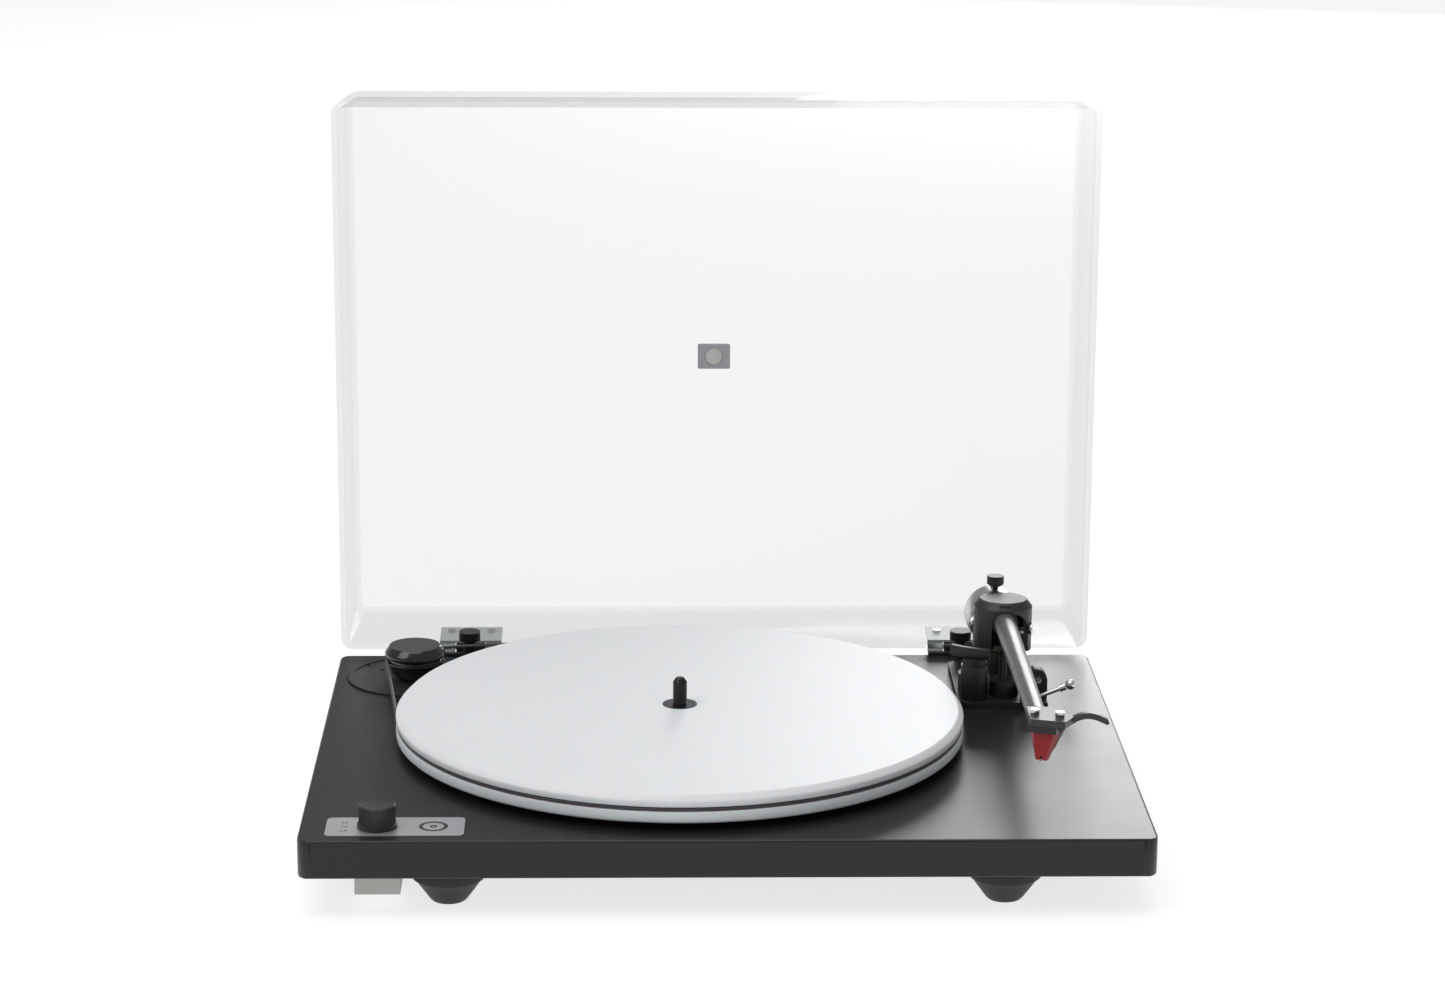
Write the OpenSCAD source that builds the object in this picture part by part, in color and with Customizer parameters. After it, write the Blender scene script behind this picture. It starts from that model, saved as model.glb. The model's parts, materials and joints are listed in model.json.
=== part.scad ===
// Belt-drive record player: plinth, platter, motor, hinged dust cover and tonearm.
// +X is to the right, +Y to the back and +Z up. The origin is on the floor, under the middle of
// the player with its cover open. Places below are in the deck frame: x from the plinth's middle,
// y from its front edge and z from its top face.

/* [Plinth] */
// Width of the plinth
plinth_w = 412.75; // [400:0.05:500]
// Depth of the plinth, front to back
plinth_d = 304.8; // [300:0.05:370]
// Thickness of the plinth board
plinth_t = 19.05; // [16:0.05:24]
// Radius of the plinth's upright corners
plinth_corner = 8; // [3:0.5:16]
// Radius of the plinth's long edges
plinth_edge = 1.25; // [0.5:0.25:4]

/* [Feet] */
// Height of a foot
foot_h = 20; // [16:0.5:28]
// Radius of a foot's collar
foot_r = 18; // [14:0.5:22]
// Radius of a foot where it meets the floor
foot_tip_r = 9.5; // [8:0.5:13]
// Distance of the front feet from the plinth's middle
foot_x = 135; // [110:1:170]
// Distance of the rear feet from the plinth's middle, clear of the motor
rear_foot_x = 118; // [108:1:120]
// Distance of the feet from the plinth's front and back edges
foot_inset = 27; // [22:1:50]

/* [Platter] */
// Radius of the platter
platter_r = 146.05; // [130:0.05:150]
// Thickness of the platter
platter_t = 14.1; // [10:0.1:18]
// Gap between the deck and the platter
platter_gap = 3.9; // [3:0.1:5]
// Width of the chamfer round the platter's top
platter_chamfer = 2.75; // [0.5:0.25:4]
// Platter centre, to the left of the plinth's middle
platter_left = 21.35; // [15:0.05:25]
// Platter centre, behind the plinth's front edge
platter_back = 159; // [154:0.5:160]
// Radius of the spindle
spindle_r = 3.6; // [3.55:0.01:3.63]
// Height of the spindle's tip above the deck
spindle_top = 32.2; // [28:0.1:36]
// Radius of the hub disc round the spindle
hub_r = 8.9; // [7:0.1:14]

/* [Drive] */
// Motor centre, from the plinth's left edge
motor_in = 42.98; // [41:0.01:50]
// Motor centre, from the plinth's back edge
motor_from_back = 40; // [39.5:0.5:50]
// Radius of the motor's cover plate
motor_plate_r = 36.5; // [32:0.5:37]
// Radius of the motor can
motor_can_r = 25; // [18:0.5:27]
// Radius at which the belt runs on the pulley
pulley_belt_r = 15.4; // [12:0.1:18]
// Height of the belt above the deck
belt_z = 11; // [10:0.1:12]
// Thickness of the round belt
belt_d = 1.7; // [1.2:0.1:2]

/* [Dust cover] */
// Depth of the cover, from its rim to its top
cover_depth = 65; // [60:1:90]
// Thickness of the cover's walls
cover_wall = 3.2; // [2.4:0.1:4]
// Radius of the cover's four corners
cover_corner = 7; // [6:0.5:12]
// Radius of the edge round the cover's top
cover_edge = 5; // [4.5:0.25:6]
// Draft of the cover's side walls, in degrees
cover_draft = 3.4; // [0:0.1:4]
// Distance of the hinges from the plinth's middle
hinge_x = 135; // [110:1:160]
// Width of a hinge
hinge_w = 34; // [30:1:44]
// Radius of a hinge pin
hinge_pin_r = 1.2; // [1:0.05:1.4]

/* [Controls] */
// Width of the badge plate
badge_w = 66.8; // [54:0.1:72]
// Depth of the badge plate
badge_d = 26.2; // [22:0.1:30]
// Radius of the knob
knob_r = 9; // [7:0.25:10]
// Height of the knob's top above the deck
knob_top = 11.8; // [10:0.1:16]

/* [Tonearm] */
// Arm pivot, to the right of the plinth's middle
pivot_right = 154.26; // [150:0.01:180]
// Arm pivot, behind the plinth's front edge
pivot_back = 258; // [250:0.5:300]
// Height of the arm's level pivot axis above the deck
pivot_z = 30.6; // [28:0.1:36]
// Distance from the pivot to the stylus, in plan
arm_reach = 218; // [205:0.5:235]
// Offset angle of the headshell and of the pivot axis
arm_offset = 22; // [18:0.5:25]
// Angle by which the parked arm points left of straight ahead
arm_park_yaw = 0.48; // [0:0.01:1]
// Angle by which the parked arm is tipped up from its playing level
arm_park_tip = 2.05; // [1.5:0.05:3]
// Radius of the arm tube at the bearing housing
tube_back_r = 5.8; // [5:0.1:6.5]
// Radius of the arm tube at the headshell
tube_front_r = 4.7; // [4:0.1:5.5]
// Wall of the arm tube
tube_wall = 0.8; // [0.6:0.1:1.2]
// Radius of the bearing housing
arm_housing_r = 15.7; // [15:0.1:18]
// Radius of the counterweight
weight_r = 15.3; // [13:0.1:18]
// Thickness of the counterweight
weight_t = 19; // [12:0.5:22]

/* [Hidden] */
$fn = 96;

// Small gaps shared by everything that fits
running = 0.05;
loose = 0.3;
eps = 0.01;

// The deck frame's place in the player's own frame
cover_back_gap = 1.6;
rim_y = plinth_d + cover_back_gap;
overall_depth = rim_y + cover_depth;
deck_z = foot_h + plinth_t;
front_y = -overall_depth / 2;

// Platter, belt and drive
platter_x = -platter_left;
platter_top = platter_gap + platter_t;
motor_x = -plinth_w / 2 + motor_in;
motor_y = plinth_d - motor_from_back;
belt_r = belt_d / 2;
groove_clear = belt_r + loose;
platter_belt_r = platter_r - belt_r - 0.2;
drive_run = norm([platter_x - motor_x, platter_back - motor_y]);
drive_dir = atan2(platter_back - motor_y, platter_x - motor_x);
belt_tilt = asin((platter_belt_r - pulley_belt_r) / drive_run);

// Bearing under the platter
bearing_r = 10.9;
bearing_flange_r = 16;
bearing_flange_t = 1.2;
bush_wall = 2.2;
ball_r = 2.5;
bearing_depth = 30;
bearing_floor = 2;
spindle_bottom = -bearing_depth + bearing_floor + 2 * ball_r;
journal_r = spindle_r + 0.4;
hub_top = platter_top + 0.2;
hub_flange_r = 20;
hub_flange_t = 1;

// Motor and its cover plate
motor_recess = 1.6;
motor_plate_t = 2;
motor_lip_w = 2;
motor_lip_h = 0.5;
motor_ring_t = 1;
motor_can_h = 28;
motor_shaft_r = 1.6;
motor_screw_ring = motor_plate_r - 4.3;
motor_screw_angle = 144.3;
pulley_top = 18;
pulley_bottom = 3;
pulley_rim_r = 16.3;
pulley_top_r = 13.65;
pulley_step_r = 13.7;

// Knob, badge and switch
badge_t = 1;
badge_sink = 0.7;
badge_x = -plinth_w / 2 + 46.18;
badge_y = 20.9;
knob_x = badge_x - 8.6;
knob_y = 21;
knob_skirt_r = knob_r + 0.75;
knob_gap = 0.5;
knob_shaft_r = 3;
knob_reeds = 40;
switch_w = 22;
switch_h = 12.45;

// Cover, open at rest: its rim stands upright behind the plinth
cover_bottom = 2.8;
cover_h = plinth_d;
cover_taper = cover_depth * tan(cover_draft);
arc_steps = 6;
axis_y = rim_y + 2.7;
axis_z = 3.2;
knuckle_r = 2.5;
knuckle_gap = 0.5;
knuckle_mid_w = 16;
leaf_t = 1.6;
cover_leaf_t = 1.2;
thumb_y = plinth_d - 9.5;
thumb_shank_r = 2;
thumb_neck_r = 3.4;
thumb_head_r = 5.8;
thumb_head_z = 11.5;
thumb_top = 16.6;
pad_w = 18;
pad_h = 14;
pad_t = 2;

// Tonearm, in the arm frame: origin at the pivot, the tube along -Y, level when it plays
tube_z = 4.7;
housing_bottom = -12.1;
housing_shoulder = 11.4;
housing_top = 15.3;
housing_wall = 2.5;
housing_top_r = 12.6;
socket_back = 10;
shell_back = arm_reach - 24;
shell_top = 9.3;
shell_t = 3.4;
shell_bottom = shell_top - shell_t;
screw_back = 9.5;
screw_spacing = 12.7;
cart_h = 17.8;
wedge_top = -4;
wedge_low = -17.3;
stub_r = 5;
stub_turn = 4.5;
stub_end = 42;
weight_y = 27;
weight_drop = 6.3;
weight_screw_r = 1.5;
pillar_r = 8;
arm_shaft_r = 3;
yoke_r = 7.5;
pivot_tip_r = 1;
pivot_shank_r = 1.5;
pivot_head_r = 3.3;

// Arm base, cue lift, lever and rest
base_t = 3;
column_x = pivot_right - 18.56;
column_y = pivot_back - 42;
column_r = 7.15;
piston_r = 6.35;
lift_r = norm([column_x - pivot_right, column_y - pivot_back]);
rest_x = pivot_right - 2.86;
rest_y = pivot_back - 36;
lever_x = pivot_right + 9.24;
lever_y = pivot_back - 54;
lever_z = 5;
lever_rise = 21.8;
lever_pin_r = 1.2;

// Sockets at the back
panel_x = 66;
panel_w = 78;
panel_h = 15;
panel_t = 1.5;
socket_z = -plinth_t / 2;
socket_r = 4.15;
socket_pitch = 18;
pocket_d = 22;

module deck() {
    translate([0, front_y, deck_z]) children();
}

module rounded_rect(w, d, r) {
    square([w - 2 * r, d], center = true);
    square([w, d - 2 * r], center = true);
    for (sx = [-1, 1], sy = [-1, 1])
        translate([sx * (w / 2 - r), sy * (d / 2 - r)]) circle(r);
}

// A tube or bore along Z, from z0 up to z1
module rod(r, z0, z1) {
    translate([0, 0, z0]) cylinder(r = r, h = z1 - z0);
}

module feet_places() {
    for (sx = [-1, 1]) {
        translate([sx * foot_x, foot_inset, 0]) children();
        translate([sx * rear_foot_x, plinth_d - foot_inset, 0]) children();
    }
}

module motor_screw_places() {
    for (turn = [0, 180])
        translate([motor_x, motor_y, 0]) rotate(motor_screw_angle + turn)
            translate([motor_screw_ring, 0, 0]) children();
}

module hinge_places() {
    for (sx = [-1, 1]) translate([sx * hinge_x, 0, 0]) children();
}

module base_screw_places() {
    for (place = [[-19, 19], [8, 19], [6.5, -19]])
        translate([pivot_right + place[0], pivot_back + place[1], 0]) children();
}

module rear_places(places) {
    for (x = places)
        translate([panel_x + x, plinth_d, socket_z]) rotate([-90, 0, 0]) children();
}

module plinth_slab() {
    intersection() {
        translate([0, plinth_d / 2, -plinth_t]) linear_extrude(plinth_t)
            rounded_rect(plinth_w, plinth_d, plinth_corner);
        translate([0, plinth_d, -plinth_t / 2]) rotate([90, 0, 0]) linear_extrude(plinth_d)
            rounded_rect(plinth_w, plinth_t, plinth_edge);
        translate([-plinth_w / 2, plinth_d / 2, -plinth_t / 2]) rotate([90, 0, 90])
            linear_extrude(plinth_w) rounded_rect(plinth_d, plinth_t, plinth_edge);
    }
}

module plinth() {
    through = plinth_t + 1;
    color([0.13, 0.13, 0.14]) deck() difference() {
        plinth_slab();
        translate([platter_x, platter_back, 0]) rod(bearing_r + running, -through, 1);
        translate([motor_x, motor_y, 0]) {
            rod(motor_plate_r + 0.5, -motor_recess, 1);
            rod(motor_can_r + 2, -through, 1);
        }
        motor_screw_places() rod(motor_shaft_r, -plinth_t * 0.7, 0);
        translate([badge_x, badge_y, -badge_sink]) linear_extrude(2)
            rounded_rect(badge_w + 1, badge_d + 1, 3.5);
        translate([knob_x, knob_y, 0]) rod(knob_shaft_r + 1, -through, 1);
        feet_places() rod(2 + running, -through, -plinth_t / 2);
        base_screw_places() rod(1.5 + running, -plinth_t * 0.7, 1);
        hinge_places() translate([0, thumb_y, 0])
            rod(thumb_shank_r + running, -plinth_t * 0.6, 1);
        translate([panel_x, plinth_d + 1 - pocket_d / 2, socket_z])
            cube([panel_w - 14, pocket_d + 2, 10], center = true);
        rear_places([-panel_w / 2 + 3.5, panel_w / 2 - 3.5]) rod(1.2, -8, 1);
    }
}

module feet() {
    color([0.06, 0.06, 0.06]) deck() feet_places() translate([0, 0, -plinth_t - foot_h])
        rotate_extrude() polygon([[2.2, foot_h - 4], [2.2, foot_h], [foot_r, foot_h],
            [foot_r, foot_h - 8], [foot_r - 1, foot_h - 8], [foot_tip_r, 1.5],
            [foot_tip_r - 1.5, 0], [5, 0], [5, foot_h - 4]]);
}

module foot_screws() {
    color([0.7, 0.7, 0.7]) deck() feet_places() {
        rod(2, -plinth_t - 4, -plinth_t / 2 - 1);
        difference() {
            rod(4, -plinth_t - 7, -plinth_t - 4);
            translate([0, 0, -plinth_t - 8]) linear_extrude(2.5) circle(1.5, $fn = 6);
        }
    }
}

module bearing_housing() {
    color([0.2, 0.2, 0.2]) deck() translate([platter_x, platter_back, 0]) difference() {
        union() {
            rod(bearing_flange_r, 0, bearing_flange_t);
            rod(bearing_r, -bearing_depth, bearing_flange_t);
        }
        rod(journal_r + running + bush_wall, -bearing_depth + bearing_floor, 2);
    }
}

module bearing_bush() {
    color([0.72, 0.5, 0.22]) deck() translate([platter_x, platter_back, 0]) difference() {
        rod(journal_r + running + bush_wall, -bearing_depth + bearing_floor, bearing_flange_t);
        rod(journal_r + running, -bearing_depth, 2);
    }
}

module bearing_ball() {
    color([0.8, 0.8, 0.8]) deck()
        translate([platter_x, platter_back, spindle_bottom - ball_r]) sphere(ball_r);
}

module spindle() {
    nose = 2.2;
    color([0.05, 0.05, 0.05]) deck() translate([platter_x, platter_back, 0]) {
        rod(journal_r, spindle_bottom, hub_top);
        rod(spindle_r, spindle_bottom, spindle_top - nose);
        translate([0, 0, spindle_top - nose])
            cylinder(r1 = spindle_r, r2 = spindle_r - 1.6, h = nose);
    }
}

module hub() {
    color([0.06, 0.06, 0.06]) deck() translate([platter_x, platter_back, 0]) difference() {
        union() {
            rod(hub_flange_r, platter_gap - hub_flange_t, platter_gap);
            rod(hub_r, platter_gap - hub_flange_t, hub_top);
        }
        rod(journal_r, 0, platter_top + 1);
    }
}

module platter() {
    color([0.93, 0.94, 0.95]) deck() translate([platter_x, platter_back, 0]) rotate_extrude($fn = 180)
        polygon([[hub_r, platter_gap], [platter_r - 1, platter_gap], [platter_r, platter_gap + 1],
            [platter_r, belt_z - groove_clear], [platter_belt_r - groove_clear, belt_z - groove_clear],
            [platter_belt_r - groove_clear, belt_z + groove_clear],
            [platter_r, belt_z + groove_clear], [platter_r, platter_top - platter_chamfer],
            [platter_r - platter_chamfer, platter_top], [hub_r, platter_top]]);
}

module motor_plate() {
    top = motor_plate_t - motor_recess;
    color([0.1, 0.1, 0.1]) deck() difference() {
        translate([motor_x, motor_y, 0]) {
            rod(motor_plate_r - motor_lip_w, -motor_recess, top);
            rod(8, -motor_recess, top + 1);
            difference() {
                rod(motor_plate_r, -motor_recess, top + motor_lip_h);
                rod(motor_plate_r - motor_lip_w, -motor_recess - 1, top + 1);
            }
        }
        translate([motor_x, motor_y, 0]) rod(4, -5, 5);
        translate([motor_x - 18.6, motor_y + 11.2, 0]) rotate(90)
            translate([0, 0, -3]) cylinder(r = 2, h = 6, $fn = 3);
        motor_screw_places() {
            rod(1.6, -5, 5);
            translate([0, 0, top - 1.5]) cylinder(r1 = 1.6, r2 = 3.2, h = 1.6);
        }
    }
}

module motor_plate_screws() {
    top = motor_plate_t - motor_recess;
    color([0.15, 0.15, 0.15]) deck() motor_screw_places() difference() {
        union() {
            translate([0, 0, top - 1.4]) cylinder(r1 = 1.5, r2 = 2.9, h = 1.4);
            rod(1.5, -plinth_t * 0.6, top - 1.4);
        }
        translate([0, 0, top - 0.8]) linear_extrude(1) circle(1, $fn = 6);
    }
}

module motor_ring() {
    color([0.08, 0.08, 0.08]) deck() translate([motor_x, motor_y, 0]) difference() {
        rod(20, -motor_recess - motor_ring_t, -motor_recess);
        rod(14, -motor_recess - motor_ring_t - 1, 0);
    }
}

module motor_can() {
    can_top = -motor_recess - motor_ring_t;
    color([0.6, 0.6, 0.62]) deck() translate([motor_x, motor_y, 0]) difference() {
        union() {
            rod(motor_can_r, can_top - motor_can_h, can_top);
            rod(5, can_top - motor_can_h, can_top + 1.2);
        }
        rod(motor_shaft_r + running, can_top - motor_can_h + 4, 3);
    }
}

module motor_shaft() {
    color([0.75, 0.75, 0.75]) deck() translate([motor_x, motor_y, 0])
        rod(motor_shaft_r, -motor_recess - motor_can_h + 5, pulley_top - 2);
}

module pulley() {
    step_z = pulley_bottom + 5;
    color([0.04, 0.04, 0.04]) deck() translate([motor_x, motor_y, 0]) difference() {
        rotate_extrude() polygon([[0, pulley_bottom], [pulley_step_r - 0.6, pulley_bottom],
            [pulley_step_r, step_z], [pulley_rim_r - 0.4, step_z + 0.6],
            [pulley_rim_r - 0.4, belt_z - groove_clear],
            [pulley_belt_r - groove_clear, belt_z - groove_clear],
            [pulley_belt_r - groove_clear, belt_z + groove_clear],
            [pulley_rim_r, belt_z + groove_clear], [pulley_rim_r, pulley_top - 3.8],
            [pulley_top_r, pulley_top], [0, pulley_top]]);
        rod(motor_shaft_r, 0, pulley_top - 2);
    }
}

// The loop that the belt takes round both wheels, grown outwards or inwards
module belt_loop(grow) {
    function touch(place, r, side) =
        let (normal = drive_dir + side * (90 + belt_tilt))
        [place[0] + r * cos(normal), place[1] + r * sin(normal)];
    motor_at = [motor_x, motor_y];
    platter_at = [platter_x, platter_back];
    translate(motor_at) circle(pulley_belt_r + grow);
    translate(platter_at) circle(platter_belt_r + grow);
    polygon([touch(motor_at, pulley_belt_r + grow, 1), touch(motor_at, pulley_belt_r + grow, -1),
        touch(platter_at, platter_belt_r + grow, -1), touch(platter_at, platter_belt_r + grow, 1)]);
}

module belt() {
    color([0.35, 0.36, 0.38]) deck() translate([0, 0, belt_z - belt_r]) linear_extrude(belt_d)
        difference() {
            belt_loop(belt_r);
            belt_loop(-belt_r);
        }
}

module badge_plate() {
    color([0.78, 0.79, 0.8]) deck() difference() {
        translate([badge_x, badge_y, -badge_sink]) linear_extrude(badge_t)
            rounded_rect(badge_w, badge_d, 3);
        translate([knob_x, knob_y, 0]) rod(knob_shaft_r + loose, -2, 2);
    }
}

module knob() {
    low = badge_t - badge_sink + knob_gap;
    color([0.05, 0.05, 0.05]) deck() translate([knob_x, knob_y, 0]) difference() {
        union() {
            rod(knob_skirt_r, low, low + 1.2);
            rod(knob_r, low, knob_top - 0.6);
            translate([0, 0, knob_top - 0.6]) cylinder(r1 = knob_r, r2 = knob_r - 0.6, h = 0.6);
        }
        rod(knob_shaft_r, 0, knob_top - 3);
        for (turn = [0 : 360 / knob_reeds : 359])
            rotate(turn) translate([knob_r + 0.15, 0, low + 2]) rod(0.45, 0, knob_top - low - 3.4);
    }
}

module knob_shaft() {
    color([0.6, 0.6, 0.6]) deck() translate([knob_x, knob_y, 0])
        rod(knob_shaft_r, -plinth_t - 8, knob_top - 3);
}

module switch_housing() {
    color([0.72, 0.72, 0.7]) deck() difference() {
        translate([knob_x - switch_w / 2, knob_y - 8, -plinth_t - switch_h])
            cube([switch_w, 24, switch_h]);
        translate([knob_x, knob_y, 0]) rod(knob_shaft_r + running, -plinth_t - 9, 0);
    }
}

// One ring of points round the cover, at depth y, set in from its full outline
function cover_ring(y, inset, r) = [for (quarter = [0 : 3], i = [0 : arc_steps])
    let (turn = quarter * 90 + i * 90 / arc_steps,
        side = quarter == 0 || quarter == 3 ? 1 : -1,
        level = quarter < 2 ? 1 : -1)
    [side * (plinth_w / 2 - inset - r) + r * cos(turn), y,
        cover_bottom + cover_h / 2 + level * (cover_h / 2 - inset - r) + r * sin(turn)]];

// The closed form of the cover, set in by skin on every side
module cover_form(skin) {
    corner = cover_corner - skin;
    edge = cover_edge - skin;
    back = rim_y + cover_depth - skin;
    count = 4 * (arc_steps + 1);
    rings = concat([cover_ring(rim_y - sign(skin), skin, corner)],
        [for (i = [0 : arc_steps]) let (turn = i * 90 / arc_steps, y = back - edge + edge * sin(turn))
            cover_ring(y, skin + cover_taper * (y - rim_y) / cover_depth + edge * (1 - cos(turn)),
                corner - edge * (1 - cos(turn)))]);
    last = (len(rings) - 1) * count;
    polyhedron([for (ring = rings) each ring], concat(
        [[for (i = [count - 1 : -1 : 0]) i]],
        [[for (i = [0 : count - 1]) last + i]],
        [for (k = [0 : len(rings) - 2], i = [0 : count - 1]) let (j = (i + 1) % count)
            [k * count + i, k * count + j, (k + 1) * count + j, (k + 1) * count + i]]));
}

// Places of the leaf screws on the sloping lower wall of the cover
module leaf_screw_places() {
    for (side = [-1, 1]) hinge_places() leaf_frame() translate([side * 11, 16, 0]) children();
}

module leaf_frame() {
    translate([0, rim_y, cover_bottom + cover_wall + running]) rotate([cover_draft, 0, 0])
        children();
}

module dust_cover() {
    notch_end = axis_y + knuckle_r + 1;
    color([0.85, 0.88, 0.9, 0.3]) deck() difference() {
        cover_form(0);
        cover_form(cover_wall);
        hinge_places() translate([-hinge_w / 2 - 1, rim_y - 1, cover_bottom - 1])
            cube([hinge_w + 2, notch_end - rim_y + 1, cover_wall + 2]);
        leaf_screw_places() rod(1.2 + running, -cover_wall * 2, 1);
    }
}

module cover_pad() {
    color([0.6, 0.62, 0.64]) deck()
        translate([0, rim_y + cover_depth - cover_wall, cover_bottom + cover_h / 2])
            rotate([90, 0, 0]) difference() {
                linear_extrude(pad_t) rounded_rect(pad_w, pad_h, 1);
                rod(5, pad_t - 0.8, pad_t + 1);
            }
}

module knuckle(x0, x1, bore) {
    translate([x0, axis_y, axis_z]) rotate([0, 90, 0]) difference() {
        rod(knuckle_r, 0, x1 - x0);
        rod(bore, -1, x1 - x0 + 1);
    }
}

module hinge_base_leaves() {
    tongue_w = 6;
    color([0.08, 0.08, 0.08]) deck() hinge_places() {
        difference() {
            union() {
                translate([-hinge_w / 2, plinth_d - 2.8, 0]) cube([hinge_w, 3.8, leaf_t]);
                translate([-tongue_w / 2, thumb_y, 0])
                    cube([tongue_w, plinth_d - thumb_y, leaf_t]);
                translate([0, thumb_y, 0]) rod(tongue_w / 2, 0, leaf_t);
            }
            translate([0, thumb_y, 0]) rod(thumb_shank_r + running, -1, leaf_t + 1);
        }
        difference() {
            union() {
                knuckle(-knuckle_mid_w / 2, knuckle_mid_w / 2, hinge_pin_r);
                translate([-knuckle_mid_w / 2, plinth_d, 0])
                    cube([knuckle_mid_w, axis_y - plinth_d, leaf_t]);
            }
            translate([-hinge_w, axis_y, axis_z]) rotate([0, 90, 0])
                rod(hinge_pin_r, 0, 2 * hinge_w);
        }
    }
}

module hinge_pins() {
    color([0.7, 0.7, 0.7]) deck() hinge_places()
        translate([-hinge_w / 2, axis_y, axis_z]) rotate([0, 90, 0])
            rod(hinge_pin_r, 0, hinge_w);
}

module hinge_cover_leaves() {
    side_w = (hinge_w - knuckle_mid_w) / 2 - knuckle_gap;
    color([0.5, 0.54, 0.52]) deck() {
        difference() {
            hinge_places() leaf_frame() translate([-hinge_w / 2, 1.5, 0])
                cube([hinge_w, 22, cover_leaf_t]);
            leaf_screw_places() rod(1.2, -1, cover_leaf_t + 1);
        }
        hinge_places() for (side = [-1, 1]) {
            x0 = side > 0 ? hinge_w / 2 - side_w : -hinge_w / 2;
            knuckle(x0, x0 + side_w, hinge_pin_r + running);
            translate([x0, axis_y - 1.2, axis_z + 1.5])
                cube([side_w, 2.4, cover_bottom + cover_wall + 0.6 - axis_z - 1.5]);
        }
    }
}

module hinge_screws() {
    color([0.7, 0.7, 0.7]) deck() leaf_screw_places() {
        rod(1.2, -cover_wall, cover_leaf_t);
        rod(2.2, cover_leaf_t, cover_leaf_t + 1);
    }
}

module thumbscrew(side) {
    ridges = 30;
    color([0.06, 0.06, 0.06]) deck() translate([side * hinge_x, thumb_y, 0]) difference() {
        union() {
            rod(thumb_shank_r, -plinth_t * 0.5, leaf_t + running);
            rod(thumb_neck_r, leaf_t + running, thumb_head_z);
            rod(thumb_head_r, thumb_head_z, thumb_top);
        }
        for (turn = [0 : 360 / ridges : 359])
            rotate(turn) translate([thumb_head_r + 0.15, 0, 0]) rod(0.4, 0, thumb_top - 0.8);
    }
}

module thumbscrew_left() {
    thumbscrew(-1);
}

module thumbscrew_right() {
    thumbscrew(1);
}

// The pivot, turned and tipped as the parked arm is
module pivot_frame() {
    deck() translate([pivot_right, pivot_back, pivot_z])
        rotate(a = arm_park_tip, v = [-cos(arm_offset), sin(arm_offset), 0]) children();
}

module arm_frame() {
    pivot_frame() rotate(-arm_park_yaw) children();
}

// The stub's frame, turned a little from the tube
module stub_frame() {
    arm_frame() rotate(stub_turn) translate([0, 0, tube_z]) rotate([-90, 0, 0]) children();
}

// The cartridge's frame: origin between the two screws, under the headshell
module cart_frame() {
    arm_frame() translate([0, -arm_reach, 0]) rotate(-arm_offset)
        translate([0, screw_back, shell_bottom]) children();
}

module arm_base() {
    plate_w = 41;
    plate_d = 77;
    ear_w = 12;
    color([0.09, 0.09, 0.09]) deck() difference() {
        union() {
            translate([pivot_right - 6.76, pivot_back - 13.5, 0]) linear_extrude(base_t)
                rounded_rect(plate_w, plate_d, 6);
            translate([pivot_right + 8, pivot_back - 52, 0]) cube([ear_w, 16, base_t]);
            translate([pivot_right - 17.26, pivot_back - 25.6, 0]) rod(8.5, 0, 12);
            translate([lever_x - 3.5, lever_y + 2.3, 0]) cube([8, 7.7, 9]);
        }
        translate([lever_x, lever_y + 2, lever_z]) rotate([-90, 0, 0])
            rod(lever_pin_r + running, 0, 7);
        base_screw_places() rod(1.5 + running, -1, base_t + 1);
    }
}

module arm_base_screws() {
    color([0.12, 0.12, 0.12]) deck() base_screw_places() {
        rod(1.5, -plinth_t * 0.6, base_t);
        difference() {
            rod(2.75, base_t, base_t + 1.8);
            translate([0, 0, base_t + 0.8]) linear_extrude(2) circle(1.3, $fn = 6);
        }
    }
}

module arm_pillar() {
    color([0.08, 0.08, 0.08]) deck() translate([pivot_right, pivot_back, 0]) difference() {
        rod(pillar_r, base_t, 17);
        rod(5, base_t + 1, 18);
    }
}

module arm_bush() {
    color([0.75, 0.56, 0.25]) deck() translate([pivot_right, pivot_back, 0]) difference() {
        union() {
            rod(5, base_t + 1, 17);
            rod(6.5, 17, 17.8);
        }
        rod(arm_shaft_r + running, 0, 20);
    }
}

module arm_shaft() {
    color([0.7, 0.7, 0.7]) deck() translate([pivot_right, pivot_back, 0])
        rod(arm_shaft_r, base_t + 1.5, pivot_z - 4);
}

module arm_yoke() {
    color([0.15, 0.15, 0.15]) deck() translate([pivot_right, pivot_back, 0]) difference() {
        rod(yoke_r, 18.1, pivot_z + 4);
        rod(arm_shaft_r, 17, pivot_z - 4);
        translate([0, 0, pivot_z]) rotate(-arm_offset) rotate([0, 90, 0])
            rod(pivot_tip_r + running, -yoke_r - 1, yoke_r + 1);
    }
}

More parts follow.
